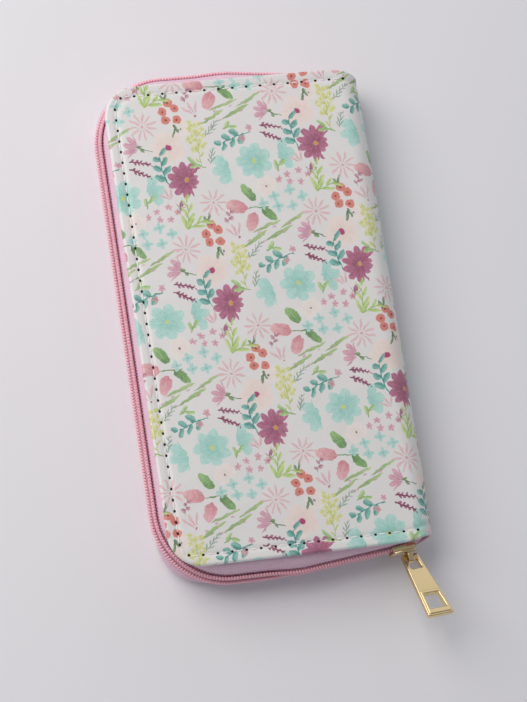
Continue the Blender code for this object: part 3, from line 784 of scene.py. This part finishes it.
for name, front in covers:
    holeShades, threads = [], []
    for points, facings, pitch in seamLines(front):
        count = round(lineLength(points) / pitch)
        holeShades.append((points, facings, count + 1))
        between, betweenFacings = shortened(points, facings, lineLength(points) / count / 2)
        threads.append((between, betweenFacings, count))
    # the needle holes are dark dots of painted shade, with the thread spans between them
    hang(beads(name + "NeedleHoleShade", holeShades, seam["holeShade"], finishes["holeShade"]), name)
    hang(beads(name + "SeamThread", threads, seam["thread"], finishes["thread"]), name)
print("seams made")


# the main zip: its tapes run on round to the spine, where both are sewn shut
zipper = {
    "sewnInset": 0.005,
    "sewnRadius": 0.008,
    "sewnZ": 0.0021,
    "spineLift": 0.0013,  # the sewn edge climbs off the skin as it turns into the spine
    "spineLiftOver": 0.0037,
    "foldedAt": 0.0031,  # how far from the middle plane the tape turns up to the teeth
    "lip": (0.0008, 0.0016, 0.00265),  # rows of points on the part that is turned up
    "bulgeEnds": 0.0038,
    "bulgeSide": 0.0013,
    "cornerRadius": 0.026,
    "slope": 0.115,  # how steeply the teeth run in towards the spine
    "endX": 0.047,
    "coilEndX": 0.0405,
    "tape": 0.0005,
    "coilPitch": 0.00115,
    "coilLoop": (0.00118, 0.0028, 0.0016),  # each loop leans, so a row reads as a twisted cord
    "coilSlant": 28,  # degrees
    "coilPlace": (0.0011, 0.0016),  # out past the teeth line, and from the middle plane
    "stitch": (0.0007, 0.00034, 0.00036),
    "stitchPlace": (0.00005, 0.0032),
    "lean": 0.0005,  # the teeth tip outwards towards the back, past the slider's reach
    "leanFrom": -0.003,
    "leanOver": 0.012,
    "cornerBow": 0.0036,  # the back tape's slack at the corners
    "flat": (0.0125, 0.375),
}


def zipLine(outEnds, outSide, radius, slope):
    # points and outward normals from the slider's end round to the far end
    y, x = wallet["halfLength"] + outEnds, -wallet["halfWidth"] - outSide
    near = [((at, -(y - slope * max(at, 0))), (0, -1)) for at in steps(zipper["endX"], 0.0, 0.0015)]
    run = [((x + radius) * i / 20, -y) for i in range(1, 20)]
    near += [(at, (0, -1)) for at in run]
    for i in range(25):
        t = pi / 2 * i / 24
        at = x + radius - radius * sin(t), -(y - radius + radius * cos(t))
        near.append((at, (-sin(t), -cos(t))))
    near += [((x, -(y - radius) * (1 - i / 25)), (-1, 0)) for i in range(1, 26)]
    far = [((p[0], -p[1]), (n[0], -n[1])) for p, n in reversed(near[:-1])]
    return near + far


sewnLine = zipLine(-zipper["sewnInset"], -zipper["sewnInset"], zipper["sewnRadius"], 0)
teethLine = zipLine(zipper["bulgeEnds"], zipper["bulgeSide"], zipper["cornerRadius"], zipper["slope"])


def zipLean(x, front):
    return zipper["lean"] * (-1 if front else 1) * smoothStep((zipper["leanFrom"] - x) / zipper["leanOver"])


def tapeRing(sewn, teeth, normal, front):
    # across the tape, from its sewn edge under the cover to the edge that holds the coil
    climb = smoothStep((sewn[0] - wallet["foldX"]) / zipper["spineLiftOver"])
    z0 = zipper["sewnZ"] + zipper["spineLift"] * climb
    top = middleZ - zipper["foldedAt"]
    behind = zipLean(teeth[0], front) - 0.00035
    base = [teeth[k] + behind * normal[k] for k in (0, 1)]
    bow = 0.0 if front else zipper["cornerBow"] * 2 * abs(normal[0] * normal[1])
    ring = []
    for i in range(13):
        t = pi / 2 * i / 12
        x, y = (sewn[k] + (base[k] - sewn[k]) * sin(t) + bow * sin(2 * t) * normal[k] for k in (0, 1))
        ring.append((x, y, mirrored(z0 + (top - z0) * (1 - cos(t)), front)))
    ring += [(*base, mirrored(top + d, front)) for d in zipper["lip"]]
    return ring


def zipTape(name, front):
    bm = bmesh.new()
    rows = []
    for (sewn, _), (teeth, normal) in zip(sewnLine, teethLine):
        rows.append([bm.verts.new(p) for p in tapeRing(sewn, teeth, normal, front)])
    for here, there in zip(rows, rows[1:]):
        for i in range(len(here) - 1):
            corners = (here[i], there[i], there[i + 1], here[i + 1])
            bm.faces.new(corners if front else corners[::-1])
    bmesh.ops.remove_doubles(bm, verts=bm.verts, dist=1e-7)
    made = finishMesh(name, bm, finishes["tape"])
    shell = made.modifiers.new("Thickness", "SOLIDIFY")
    shell.thickness, shell.offset = zipper["tape"], 0
    return bakeModifiers(made)


def zipRow(out, dz, front):
    # a line that follows the coil, out past the teeth line and dz from the middle
    points, facings = [], []
    for (x, y), normal in teethLine:
        if x > zipper["coilEndX"]:
            continue
        reach = out + zipLean(x, front)
        points.append((x + reach * normal[0], y + reach * normal[1], mirrored(middleZ - dz, front)))
        facings.append((*normal, 0))
    return points, facings


for name, front in covers:
    tape = zipTape(name + "ZipTape", front)
    points, facings = zipRow(*zipper["coilPlace"], front)
    count = round(lineLength(points) / zipper["coilPitch"])
    points, facings = shortened(points, facings, zipper["coilPitch"] * (0.5 if front else 0.0))
    count -= 1 if front else 0
    lean = radians(zipper["coilSlant"] * (1 if front else -1))
    run = (points, facings, count + 1)
    coil = beads(name + "ZipCoil", [run], zipper["coilLoop"], finishes["coil"], slant=lean)
    run = (*zipRow(*zipper["stitchPlace"], front), count + 1)
    line = beads(name + "CoilStitching", [run], zipper["stitch"], finishes["coilThread"])
    pieces = ((tape, "zip_tape", "zip_tape"), (coil, "zip_teeth", "zip_teeth"), (line, "zip_tape", None))
    for piece, slot, node in pieces:
        if node:
            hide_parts(name + "_" + node)
        if front:
            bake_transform(piece)
        else:
            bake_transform(piece)
    if front:
        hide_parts("front_zip_tape", "near_zip_end", "far_zip_end")
print("main zip made")


# slider and puller, pale gold plate
metal = {
    "sliderX": 0.0395,
    "sliderLength": 0.0096,
    "sliderHalfWidths": (0.0036, 0.0046),  # at its two ends
    "outerPlate": (0.0021, 0.0010, 0.0029, 0.00034),  # corner radius, thickness, how far out, edge radius
    "innerPlate": (0.0019, 0.0010, -0.0016, 0.00034),
    "archX": 0.0022,
    "archReach": 0.00215,
    "archTop": 0.00705,
    "archBend": 0.0016,
    "archFoot": 0.0033,
    "pivotOut": 0.005,
    "pullerThick": 0.0018,
    "rimThick": 0.0025,
    # near end, far end, half width at each, corner radius
    "pullerOutline": (-0.0008, 0.0276, 0.0036, 0.0058, 0.0007),
    "pullerEye": (0.0008, 0.0059, 0.0022, 0.0027, 0.0006),
    "pullerWindow": (0.0175, 0.0249, 0.0035, 0.0041, 0.0004),
    "rimOutline": (0.0163, 0.0269, 0.00425, 0.0051, 0.0005),
    "rimWindow": (0.0177, 0.0247, 0.0034, 0.0040, 0.0004),
    "yaw": 13.2,  # degrees, as the next two are
    "pitch": 20.7,
    "roll": -19,
}


def filleted(corners, radius, count=6):
    # the outline with every corner rounded
    points = []
    for i, corner in enumerate(corners):
        here = Vector(corner)
        a = (Vector(corners[i - 1]) - here).normalized()
        b = (Vector(corners[(i + 1) % len(corners)]) - here).normalized()
        half = a.angle(b) / 2
        reach = radius / tan(half)
        centre = here + (a + b).normalized() * (radius / sin(half))
        start, end = here + a * reach - centre, here + b * reach - centre
        for k in range(count + 1):
            points.append(centre + start.normalized().slerp(end.normalized(), k / count) * radius)
    return points


def plate(outlines, thick, place, bevel):
    # a flat plate with eased edges, lying in place's own XY plane
    curve = bpy.data.curves.new("plate", "CURVE")
    curve.dimensions, curve.fill_mode = "2D", "BOTH"
    curve.extrude, curve.offset = thick / 2 - bevel, -bevel
    curve.bevel_depth, curve.bevel_resolution = bevel, 3
    for outline in outlines:
        spline = curve.splines.new("POLY")
        spline.points.add(len(outline) - 1)
        spline.use_cyclic_u = True
        for point, at in zip(spline.points, outline):
            point.co = (at[0], at[1], 0, 1)
    made = bpy.data.objects.new("plate", curve)
    scene.collection.objects.link(made)
    mesh = bpy.data.meshes.new_from_object(made.evaluated_get(bpy.context.evaluated_depsgraph_get()))
    bpy.data.objects.remove(made, do_unlink=True)
    bm = bmesh.new()
    bm.from_mesh(mesh)
    bmesh.ops.remove_doubles(bm, verts=bm.verts, dist=1e-6)
    bmesh.ops.transform(bm, matrix=place, verts=bm.verts)
    bmesh.ops.recalc_face_normals(bm, faces=bm.faces)
    return bm


def strap(path, across, half, thick, place):
    # a bent strip: path is its middle line in place's frame, across its width's direction
    bm = bmesh.new()
    rows = []
    for i, point in enumerate(path):
        here = Vector(point)
        ahead = Vector(path[min(i + 1, len(path) - 1)]) - Vector(path[max(i - 1, 0)])
        side = Vector(across)
        up = ahead.normalized().cross(side).normalized()
        ring = []
        for k in range(12):
            a = 2 * pi * (k + 0.5) / 12
            w, t = (copysign(abs(v) ** 0.45, v) for v in (cos(a), sin(a)))
            ring.append(bm.verts.new(place @ (here + side * half * w + up * thick / 2 * t)))
        rows.append(ring)
    for here, there in zip(rows, rows[1:]):
        for k in range(12):
            bm.faces.new((here[k], here[(k + 1) % 12], there[(k + 1) % 12], there[k]))
    bm.faces.new(rows[0][::-1])
    bm.faces.new(rows[-1])
    bmesh.ops.recalc_face_normals(bm, faces=bm.faces)
    return bm


def joined(name, parts, finish):
    bm = bmesh.new()
    for part in parts:
        mesh = bpy.data.meshes.new("part")
        part.to_mesh(mesh)
        part.free()
        bm.from_mesh(mesh)
        bpy.data.meshes.remove(mesh)
    made = finishMesh(name, bm, finish)
    made.data.set_sharp_from_angle(angle=radians(40))
    return made


def sliderFrame():
    x = metal["sliderX"]
    y = -(wallet["halfLength"] + zipper["bulgeEnds"] - zipper["slope"] * x)
    return Matrix.Translation((x, y, middleZ)) @ Matrix.Rotation(atan(zipper["slope"]), 4, "Z")


def lying(place, out):
    # a plate across both coils, out from the tapes: its X runs along the zip and its Y across the coils
    axes = Matrix(((1, 0, 0), (0, 0, -1), (0, 1, 0))).to_4x4()
    return place @ Matrix.Translation((0, -out, 0)) @ axes


def shieldPlate(half, waist, widths, scale, sizes, place):
    # one of a slider's two plates: narrow at one end, and wide from its waist to the other
    radius, thick, out, bevel = sizes
    side = [(-half, widths[0]), (waist, widths[1]), (half, widths[1])]
    corners = [(x * scale[0], -y * scale[1]) for x, y in side]
    corners += [(x * scale[0], y * scale[1]) for x, y in reversed(side)]
    return plate([filleted(corners, radius)], thick, lying(place, out), bevel)


def makeSlider():
    place, half, waist = sliderFrame(), metal["sliderLength"] / 2, -0.001
    widths = metal["sliderHalfWidths"]
    parts = [
        shieldPlate(half, waist, widths, (1, 1), metal["outerPlate"], place),
        shieldPlate(half, waist, widths, (0.93, 0.92), metal["innerPlate"], place),
    ]
    for side in (-1, 1):  # the flanges that hold the teeth together
        path = [(-half + 0.0004, -0.0015, side * 0.0032)]
        path += [(x, -0.0015, side * 0.0040) for x in (waist, half - 0.0004)]
        parts.append(strap(path, (0, 1, 0), 0.00115, 0.0010, place))
    wedge = [(half - 0.0026, -0.0008, 0), (half - 0.0006, -0.0008, 0)]
    parts.append(strap(wedge, (0, 1, 0), 0.0018, 0.00034, place))
    x, reach, bend = metal["archX"], metal["archReach"], metal["archBend"]
    foot, shoulder = metal["archFoot"], metal["archTop"] - metal["archBend"]
    arch = [(x, -foot, -reach), (x, -shoulder, -reach)]
    for t in (pi * i / 12 for i in range(1, 12)):
        arch.append((x, -(shoulder + bend * sin(t) ** 0.7), -reach * cos(t)))
    arch += [(x, -shoulder, reach), (x, -foot, reach)]
    parts.append(strap(arch, (1, 0, 0), 0.001, 0.0009, place))
    return joined("sliderBody", parts, finishes["gold"])


def pullerFrame():
    yaw, pitch, roll = (radians(metal[k]) for k in ("yaw", "pitch", "roll"))
    level = Vector((cos(yaw), sin(yaw), 0))
    out = Vector((sin(yaw), -cos(yaw), 0))
    along = out * cos(pitch) + Vector((0, 0, sin(pitch)))
    across = level * cos(roll) + along.cross(level) * sin(roll)
    turn = Matrix((across, along, across.cross(along))).transposed().to_4x4()
    pivot = sliderFrame() @ Vector((metal["archX"], -metal["pivotOut"], 0))
    return Matrix.Translation(pivot) @ turn


def tapered(near, far, halfNear, halfFar, radius):
    return filleted([(-halfNear, near), (halfNear, near), (halfFar, far), (-halfFar, far)], radius)


def makePuller():
    place = pullerFrame()
    outline, eye, window = (tapered(*metal[k]) for k in ("pullerOutline", "pullerEye", "pullerWindow"))
    rim, rimWindow = (tapered(*metal[k]) for k in ("rimOutline", "rimWindow"))
    parts = [
        plate([outline, eye[::-1], window[::-1]], metal["pullerThick"], place, 0.00032),
        plate([rim, rimWindow[::-1]], metal["rimThick"], place, 0.00035),
    ]
    return joined("pullerPlate", parts, finishes["gold"])


hang(makeSlider(), "slider", ["slider_body"])
hang(makePuller(), "puller", ["puller"])
print("slider and puller made")


# inside: linings, card pockets, the coin pocket and the gussets
inside = {
    # from x, to x, half length, corner, height, thickness
    "lining": (-0.0457, 0.0430, 0.0892, 0.018, 0.0028, 0.0005),
    "pocketStart": -0.041,
    "pocketStep": 0.013,
    "pocketEnd": 0.0425,
    "pocketHalf": 0.0875,
    "pocketZ": 0.0036,
    "pocketRise": 0.0007,
    "pocketThick": 0.0004,
    "stitch": (0.0017, 0.0004, 0.00022),
    "stitchPitch": 0.0026,
    "sheet": 0.0005,  # thickness of the linings that are sewn to the spine
}


def cloth(name, rows, thick, finish, flip=False):
    # a sheet through rows of points, with its thickness to both sides
    bm = bmesh.new()
    verts = [[bm.verts.new(p) for p in row] for row in rows]
    for here, there in zip(verts, verts[1:]):
        for i in range(len(here) - 1):
            corners = (here[i], there[i], there[i + 1], here[i + 1])
            bm.faces.new(corners[::-1] if flip else corners)
    made = finishMesh(name, bm, finish)
    shell = made.modifiers.new("Thickness", "SOLIDIFY")
    shell.thickness, shell.offset, shell.use_even_offset = thick, 0, True
    edge = made.modifiers.new("Edges", "BEVEL")
    edge.width, edge.segments, edge.limit_method, edge.angle_limit = thick * 0.3, 2, "ANGLE", radians(60)
    return bakeModifiers(made)


def panel(name, x0, x1, half, corner, z, thick, front, finish, puff=0.00005):
    # a flat layer inside a cover, with its two corners on the zip side rounded
    rows = []
    xs = [x0 + corner * (1 - cos(pi / 2 * i / 10)) for i in range(10)] if corner else []
    for x in xs + steps(x0 + corner, x1, 0.002):
        run = corner - (x - x0)
        reach = half - corner + sqrt(max(0.0, corner**2 - max(0.0, run) ** 2)) if corner else half
        row = []
        for y in steps(-reach, reach, 0.002) if not corner else [reach * (i / 45 - 1) for i in range(91)]:
            wave = puff * (sin(x * 260 + y * 70) + cos(y * 190 - x * 60)) / 2
            row.append((x, y, mirrored(z + thick / 2 + wave, front)))
        rows.append(row)
    return cloth(name, rows, thick, finish, flip=not front)


def stitchRun(points, facing):
    count = max(2, round(lineLength(points) / inside["stitchPitch"]) + 1)
    return points, [facing] * len(points), count


for name, front in covers:
    x0, x1, half, corner, z, thick = inside["lining"]
    layer = panel(name + "Lining", x0, x1, half, corner, z, thick, front, finishes["lining"])
    hang(layer, name, [name + "_lining"])
    seams, up = [], (0, 0, -1 if front else 1)
    for i in range(4):
        x = inside["pocketStart"] + i * inside["pocketStep"]
        z = inside["pocketZ"] + i * inside["pocketRise"]
        half, thick = inside["pocketHalf"], inside["pocketThick"]
        label = f"{name}CardPocket{i + 1}"
        layer = panel(label, x, inside["pocketEnd"], half, 0, z, thick, front, finishes["pocket"], 0.00003)
        hang(layer, name, [f"{name}_card_pocket_{i + 1}"])
        top = mirrored(z + thick + 0.00002, front)
        hem = [(x + 0.0018, y, top) for y in steps(-half + 0.001, half - 0.001, 0.01)]
        seams.append(stitchRun(hem, up))
        last = x + inside["pocketStep"] if i < 3 else inside["pocketEnd"] - 0.001
        seams.append(stitchRun([(x + 0.003, 0, top), (last, 0, top)], up))
    stitches = beads(name + "PocketStitches", seams, inside["stitch"], finishes["thread"], rings=5)
    hang(stitches, name)
    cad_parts[name + "_board"].material_slots[0].material = finishes["board"]
print("linings and card pockets made")


def sewnToSpine(name, node, rows, flip=False, thick=inside["sheet"], finish="lining", slot="lining", **flat):
    layer = cloth(name, rows, thick, finishes[finish], flip=flip)
    hang(layer, "spine", [node])


spineRows = [[(0.04975, y, z) for z in steps(0.0085, 0.0131, 0.0008)] for y in steps(-0.0892, 0.0892, 0.004)]
# the strip is 4.6 mm wide; 10 mm is the narrowest sheet that can be declared
sewnToSpine("spineLining", "spine_lining", spineRows, flat=(0.01, 0.1784), area=0.00082, held="stretched")

coinZip = {
    "x": -0.0433,
    "half": 0.084,
    "wallOut": 0.00185,  # from the middle plane
    "wallHalf": 0.087,
    "bindingY": 0.08755,
    "loop": (0.0009, 0.0012, 0.0013),
    "pitch": 0.0013,
    "run": 0.0835,  # half the length of the row of teeth
    "sliderY": -0.074,
    "sliderHalfWidths": (0.0027, 0.0033),
    "outerPlate": (0.0009, 0.0007, 0.00235, 0.0002),
    "innerPlate": (0.0005, 0.0006, -0.0007, 0.00015),
    "pullerOutline": (-0.0006, 0.0140, 0.0023, 0.0026, 0.0007),
    "pullerEye": (0.0005, 0.0055, 0.0013, 0.0014, 0.0004),
    "pivotOut": 0.0037,
}
for side, sign in (("Back", -1), ("Front", 1)):
    rows = []
    for x in steps(-0.0429, 0.0491, 0.002):
        row = []
        for y in steps(-coinZip["wallHalf"], coinZip["wallHalf"], 0.003):
            out = coinZip["wallOut"] + 0.00003 * sin(x * 300 + y * 90)
            row.append((x, y, middleZ + sign * out))
        rows.append(row)
    node = f"coin_pocket_{side.lower()}_wall"
    sewnToSpine(f"coinPocket{side}Wall", node, rows, sign > 0, flat=(0.092, 0.174), held="laid")
for where, end in (("Near", -1), ("Far", 1)):
    rows = []
    for x in steps(-0.0429, 0.043, 0.002):
        bulge = [(0.00008 * ((z - middleZ) / 0.0021) ** 2, z) for z in steps(0.0087, 0.0129, 0.0006)]
        rows.append([(x, end * (coinZip["bindingY"] - d), z) for d, z in bulge])
    node, flat = f"coin_pocket_{where.lower()}_binding", {"flat": (0.01, 0.0859), "area": 0.00036}
    sewnToSpine(f"coinPocket{where}Binding", node, rows, end < 0, **flat, held="stretched")
for side, sign in (("Back", -1), ("Front", 1)):
    node, x, half = f"coin_zip_{side.lower()}", coinZip["x"], coinZip["half"]
    along = steps(-half, half, 0.003)
    rows = [[(x - 0.00005, y, middleZ + sign * z) for y in along] for z in steps(0.0004, 0.0026, 0.0005)]
    flat = {"flat": (0.01, 0.168), "area": 0.00051, "held": "stretched"}
    sewnToSpine(f"coinZip{side}Tape", node + "_tape", rows, sign > 0, 0.0003, "tape", "zip_tape", **flat)
    run = coinZip["run"]
    points = [(x - 0.0011, y, middleZ + sign * 0.00105) for y in steps(-run, run, 0.0005)]
    line = (points, [(-1, 0, 0)] * len(points), round(2 * run / coinZip["pitch"]))
    row = beads(f"coinZip{side}Coil", [line], coinZip["loop"], finishes["coil"], rings=5)
    hang(row, "spine", [node + "_teeth"])

# corners of one gusset's fold, in mm: along the wallet, and up from the table
gussetFold = [(90.4, 3.75), (89.2, 6.5), (80, 7.0), (79, 7.4), (80, 7.8), (88.6, 8.2), (88.6, 10.4)]
for where, end in (("near", -1), ("far", 1)):
    for side, front in covers:
        fold = []
        for a, b in zip(gussetFold, gussetFold[1:]):
            fold += [Vector(a).lerp(Vector(b), k / 4) for k in range(4)]
        fold.append(Vector(gussetFold[-1]))
        for _ in range(2):
            fold = [fold[0]] + [(p + q * 2 + r) / 4 for p, q, r in zip(fold, fold[1:], fold[2:])] + [fold[-1]]
        fold = [(end * p.x * 0.001, mirrored(p.y * 0.001, front)) for p in fold]
        rows = [[(x, *at) for at in fold] for x in steps(-0.038, 0.043, 0.003)]
        name, node, flip = f"{where}{side.title()}Gusset", f"{where}_{side}_gusset", (end > 0) == front
        sewnToSpine(name, node, rows, flip, 0.0004, flat=(0.0255, 0.081), held="folded")


def makeCoinSlider():
    half, widths = 0.004, coinZip["sliderHalfWidths"]
    place = Matrix.Translation((coinZip["x"], coinZip["sliderY"], middleZ)) @ Matrix.Rotation(-pi / 2, 4, "Z")
    parts = [
        shieldPlate(half, 0, widths, (1, 1), coinZip["outerPlate"], place),
        shieldPlate(half, 0, widths, (0.9, 0.4), coinZip["innerPlate"], place),
        strap([(half - 0.002, -0.0008, 0), (half - 0.0006, -0.0008, 0)], (0, 1, 0), 0.0013, 0.0003, place),
    ]
    bend = [(-0.0025, -0.0027, 0), (-0.0024, -0.0040, 0)]
    for t in (pi * i / 10 for i in range(1, 10)):
        bend.append((-0.0024 * cos(t), -0.0040 - 0.0010 * sin(t) ** 0.7, 0))
    bend += [(0.0024, -0.0040, 0), (0.0025, -0.0027, 0)]
    parts.append(strap(bend, (0, 0, 1), 0.0008, 0.0006, place))
    return joined("coinSliderBody", parts, finishes["gold"])


def makeCoinPuller():
    turn = Matrix(((0, 0, 1), (0, 1, 0), (-1, 0, 0))).transposed().to_4x4()
    place = Matrix.Translation((coinZip["x"] - coinZip["pivotOut"], coinZip["sliderY"], middleZ)) @ turn
    outlines = [tapered(*coinZip["pullerOutline"]), tapered(*coinZip["pullerEye"])[::-1]]
    return joined("coinPullerPlate", [plate(outlines, 0.0009, place, 0.0002)], finishes["gold"])


hang(makeCoinSlider(), "coin_slider", ["coin_slider_body"])
hang(makeCoinPuller(), "coin_puller", ["coin_puller"])
print("coin pocket and gussets made")


# floor, lights and camera
studio = {
    "floor": ("#EEEEF2", "#F1F1F5"),
    "sky": "#E6E9EE",
    "skyStrength": 0.37,
    "keyAt": (-0.55, 0.42, 0.74),
    "keySize": 1.0,
    "keyPower": 7.9,
    "keyColour": "#FFF9F5",
    "glowAt": (1.2, 1.75, 0.65),
    "glowSize": 1.6,
    "glowPower": 3.0,
    "glowColour": "#FFFFFF",
    "cameraAt": (-0.2761, -0.3058, 1.2140),
    "cameraBack": (-0.2164, -0.2311, 0.9486),  # from what it looks at, towards the camera
    "cameraUp": (0.101, 0.961, 0.257),
    "lens": 169.2,
}


def makeFloor():
    made, tree, shader, n = newMaterial("paleTable")
    position = n("TexCoord").outputs["Object"]
    cloud = n("TexNoise", named={"Vector": position, "Scale": 3.0, "Detail": 2.0})
    tree.links.new(n("MixRGB", cloud, *studio["floor"]).outputs[0], shader.inputs["Base Color"])
    shader.inputs["Roughness"].default_value = 0.7
    shader.inputs["Specular IOR Level"].default_value = 0.2
    bm = bmesh.new()
    bmesh.ops.create_grid(bm, x_segments=2, y_segments=2, size=3.0)
    bmesh.ops.translate(bm, verts=bm.verts, vec=(0, 0, -0.0002))
    finishMesh("floor", bm, made, smooth=False)


def addLight(name, at, size, power, colour):
    light = bpy.data.lights.new(name, "AREA")
    light.shape, light.size, light.energy, light.color = "DISK", size, power, linear(colour)[:3]
    lamp = bpy.data.objects.new(name, light)
    lamp.location = at
    lamp.rotation_mode = "QUATERNION"
    lamp.rotation_quaternion = (-Vector(at)).to_track_quat("-Z", "Y")
    scene.collection.objects.link(lamp)


makeFloor()
for name in ("key", "glow"):  # the metal mirrors the glow, which stands behind
    addLight(name, *(studio[name + what] for what in ("At", "Size", "Power", "Colour")))
world = bpy.data.worlds.new("studio")
world.use_nodes = True
scene.world = world
sky = world.node_tree.nodes["Background"]
sky.inputs["Color"].default_value = linear(studio["sky"])
sky.inputs["Strength"].default_value = studio["skyStrength"]
scene.view_settings.view_transform = "Standard"

lens = bpy.data.cameras.new("camera")
lens.lens, lens.sensor_width, lens.clip_start, lens.clip_end = studio["lens"], 36, 0.05, 10
camera = bpy.data.objects.new("camera", lens)
back = Vector(studio["cameraBack"]).normalized()
right = Vector(studio["cameraUp"]).cross(back).normalized()
turn = Matrix((right, back.cross(right), back)).transposed().to_4x4()
camera.matrix_world = Matrix.Translation(studio["cameraAt"]) @ turn
scene.collection.objects.link(camera)
scene.camera = camera
print("studio made")
